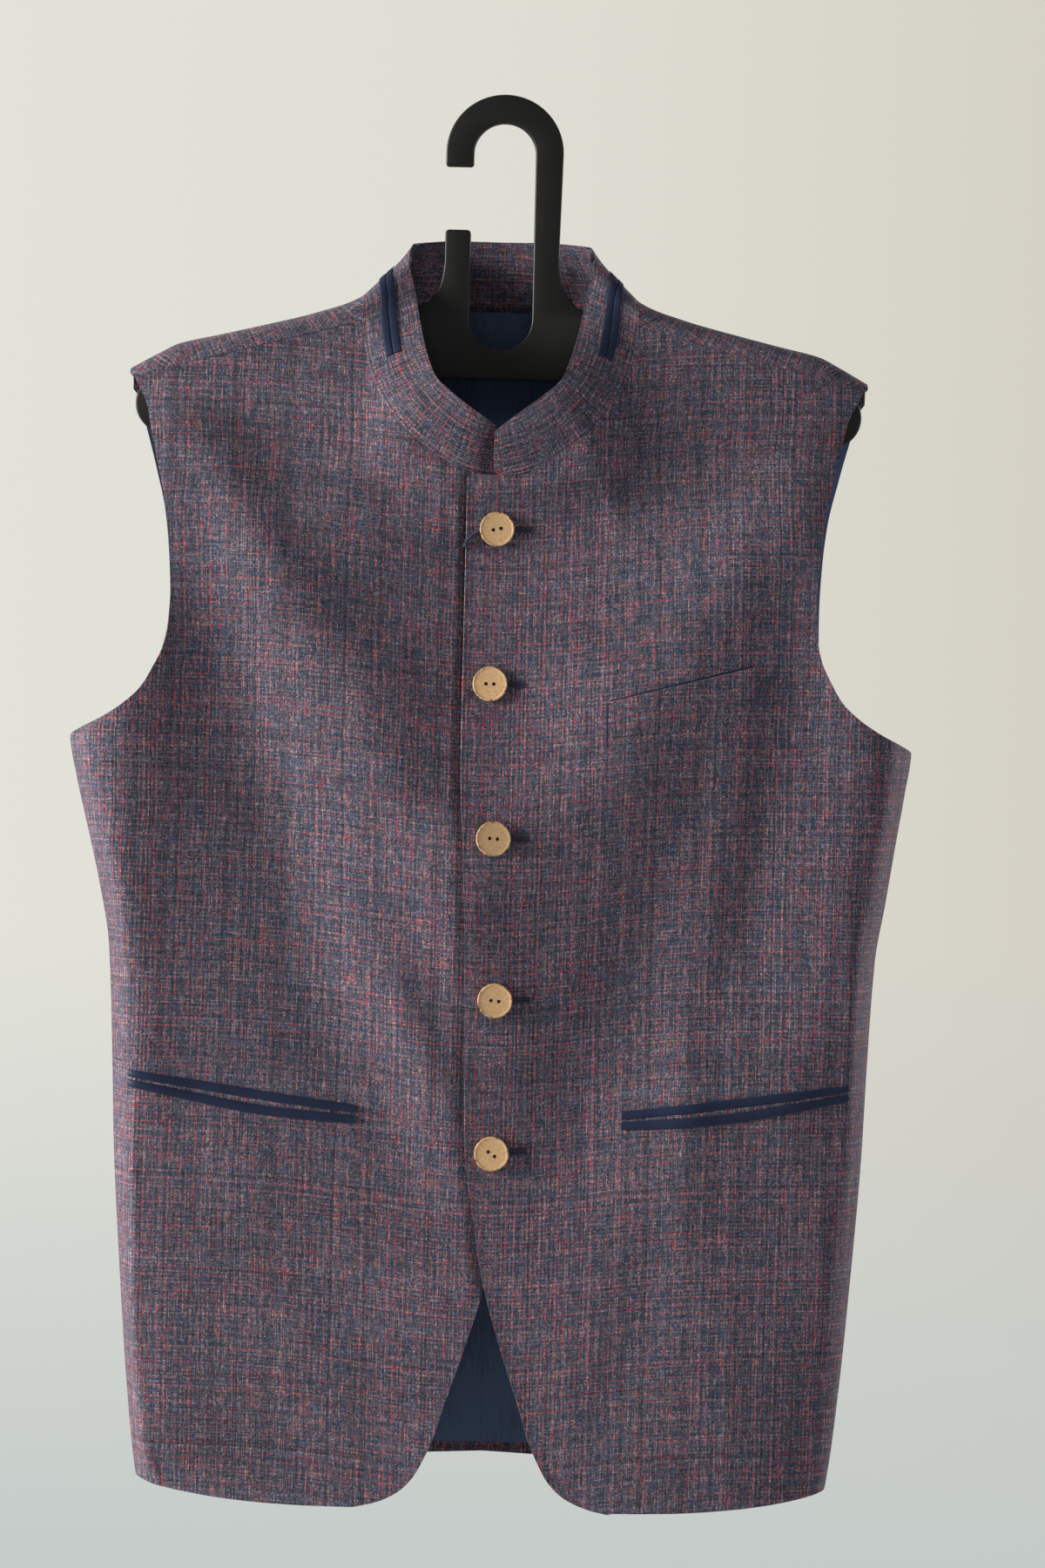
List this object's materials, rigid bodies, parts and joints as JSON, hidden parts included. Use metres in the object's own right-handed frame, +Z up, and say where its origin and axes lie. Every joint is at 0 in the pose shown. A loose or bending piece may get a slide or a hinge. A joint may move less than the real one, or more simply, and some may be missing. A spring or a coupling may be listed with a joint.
{
  "type": "nehru jacket on a plastic hanger",
  "caption": "Sleeveless band-collar jacket in checked slub suiting, buttoned at the front, hung flat on a plain plastic hanger with an open hook.",
  "frame": {"origin": "top inside of the hanger's hook, in the middle of its thickness, where a rod or wall hook carries it", "axes": "+Z up along the hang line, the jacket's front faces -Y, the wearer's left is +X"},
  "size_m": [0.506, 0.1214, 0.847],
  "materials": {
    "suiting": "matte woven slub check",
    "navy_satin": "soft satin",
    "button_wood": "satin",
    "hanger_plastic": "satin"
  },
  "bodies": {
    "root": {"back": "suiting", "button_1": "button_wood", "button_2": "button_wood", "button_3": "button_wood", "button_4": "button_wood", "button_5": "button_wood", "chest_welt": "suiting", "collar": "suiting", "collar_piping_lower_left": "navy_satin", "collar_piping_lower_right": "navy_satin", "collar_piping_upper_left": "navy_satin", "collar_piping_upper_right": "navy_satin", "front_left": "suiting", "front_right": "suiting", "hanger": "hanger_plastic", "jet_lower_left": "navy_satin", "jet_lower_right": "navy_satin", "jet_upper_left": "navy_satin", "jet_upper_right": "navy_satin", "lining_back_left": "navy_satin", "lining_back_right": "navy_satin", "pocket_mouth_left": "suiting", "pocket_mouth_right": "suiting"}
  },
  "joints": []
}
